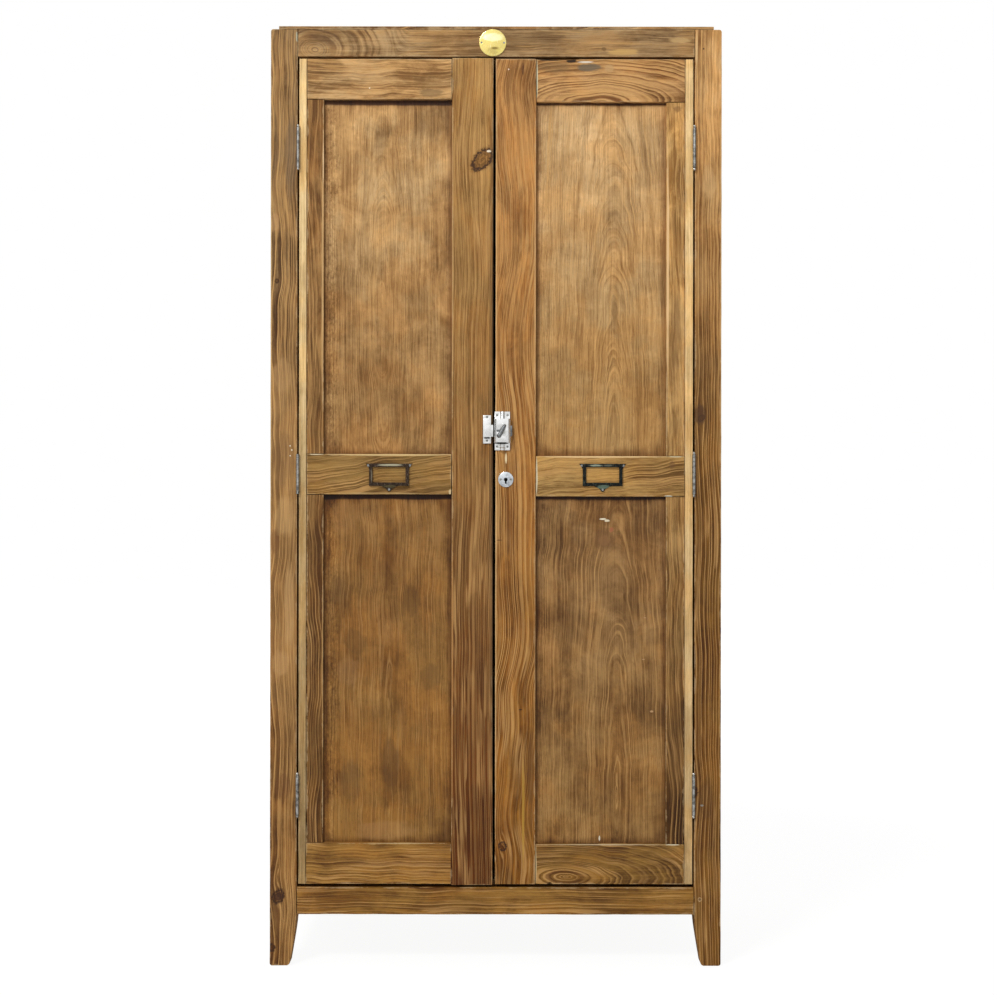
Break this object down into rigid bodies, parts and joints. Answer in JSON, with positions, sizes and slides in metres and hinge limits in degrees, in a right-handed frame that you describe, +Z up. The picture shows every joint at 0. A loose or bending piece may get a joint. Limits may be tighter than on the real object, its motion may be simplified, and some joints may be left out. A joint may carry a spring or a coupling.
{
  "type": "workshop cabinet",
  "caption": "Tall stained-pine workshop cabinet with framed and panelled double doors, tapered feet, slide latch, rim lock, label holders, a medallion and shelves inside",
  "frame": {"origin": "on the floor, under the middle of the box round the closed cabinet with its fittings", "axes": "X to the right as seen from the front, Y from the front to the back, Z up; the doors face -Y"},
  "size_m": [0.865, 0.472, 1.8],
  "materials": {
    "pine": "stained, worn",
    "pale_pine": "bare, satin",
    "panel_wood": "stained, satin",
    "plain_wood": "sawn, matt",
    "nickel": "nickel plated, worn",
    "steel": "dull, spotted",
    "bronze": "browned",
    "patina": "black with green patina",
    "brass": "polished"
  },
  "bodies": {
    "carcass": {"front_left_post": "pine", "front_right_post": "pine", "rear_posts": "pine", "front_top_rail": "pine", "front_bottom_rail": "pine", "rear_rails": "plain_wood", "left_side_rails": "pine", "right_side_rails": "pine", "left_side_panels": "panel_wood", "right_side_panels": "panel_wood", "back_boards": "plain_wood", "top_panel": "pine", "top_panel_nails": "steel", "floor_boards": "plain_wood", "door_stop": "plain_wood", "shelf_cleats": "plain_wood", "lower_shelf": "plain_wood", "middle_shelf": "plain_wood", "upper_shelf": "plain_wood", "medallion": "brass", "medallion_nails": "steel", "left_post_leaves": "steel", "right_post_leaves": "steel", "hinge_pins": "steel", "post_leaf_screws": "steel"},
    "left_door": {"left_lipping": "pale_pine", "left_hinge_stile": "pine", "left_meeting_stile": "pine", "left_door_top_rail": "pine", "left_door_middle_rail": "pine", "left_door_bottom_rail": "pine", "left_upper_panel": "panel_wood", "left_lower_panel": "panel_wood", "left_door_leaves": "steel", "left_door_leaf_screws": "steel", "left_label_holder": "bronze", "latch_keeper": "nickel", "lock_strike": "steel", "inner_bolt_plates": "steel", "left_fitting_screws": "steel"},
    "right_door": {"right_lipping": "pale_pine", "right_hinge_stile": "pine", "right_meeting_stile": "pine", "right_door_top_rail": "pine", "right_door_middle_rail": "pine", "right_door_bottom_rail": "pine", "right_upper_panel": "panel_wood", "right_lower_panel": "panel_wood", "right_door_leaves": "steel", "right_door_leaf_screws": "steel", "right_label_holder": "patina", "latch_case": "nickel", "keyhole_plate": "nickel", "lock_case": "steel", "right_fitting_screws": "steel"},
    "latch_slide": {"latch_bolt": "nickel"},
    "lock_slide": {"lock_bolt": "brass"},
    "upper_rod": {"upper_inner_bolt": "steel"},
    "lower_rod": {"lower_inner_bolt": "steel"}
  },
  "joints": [
    {"name": "left_door_hinge", "type": "hinge", "parent": "carcass", "child": "left_door", "pos_m": [-0.37925, -0.2173, 0.9], "axis": [0, 0, -1], "range_deg": [0, 175]},
    {"name": "right_door_hinge", "type": "hinge", "parent": "carcass", "child": "right_door", "pos_m": [0.37925, -0.2173, 0.9], "axis": [0, 0, 1], "range_deg": [0, 175]},
    {"name": "latch_bolt_slide", "type": "slide", "parent": "right_door", "child": "latch_slide", "axis": [-1, 0, 0], "range_m": [0, 0.008]},
    {"name": "lock_bolt_slide", "type": "slide", "parent": "right_door", "child": "lock_slide", "axis": [-1, 0, 0], "range_m": [0, 0.013]},
    {"name": "upper_bolt_slide", "type": "slide", "parent": "left_door", "child": "upper_rod", "axis": [0, 0, 1], "range_m": [0, 0.014]},
    {"name": "lower_bolt_slide", "type": "slide", "parent": "left_door", "child": "lower_rod", "axis": [0, 0, -1], "range_m": [0, 0.014]}
  ]
}
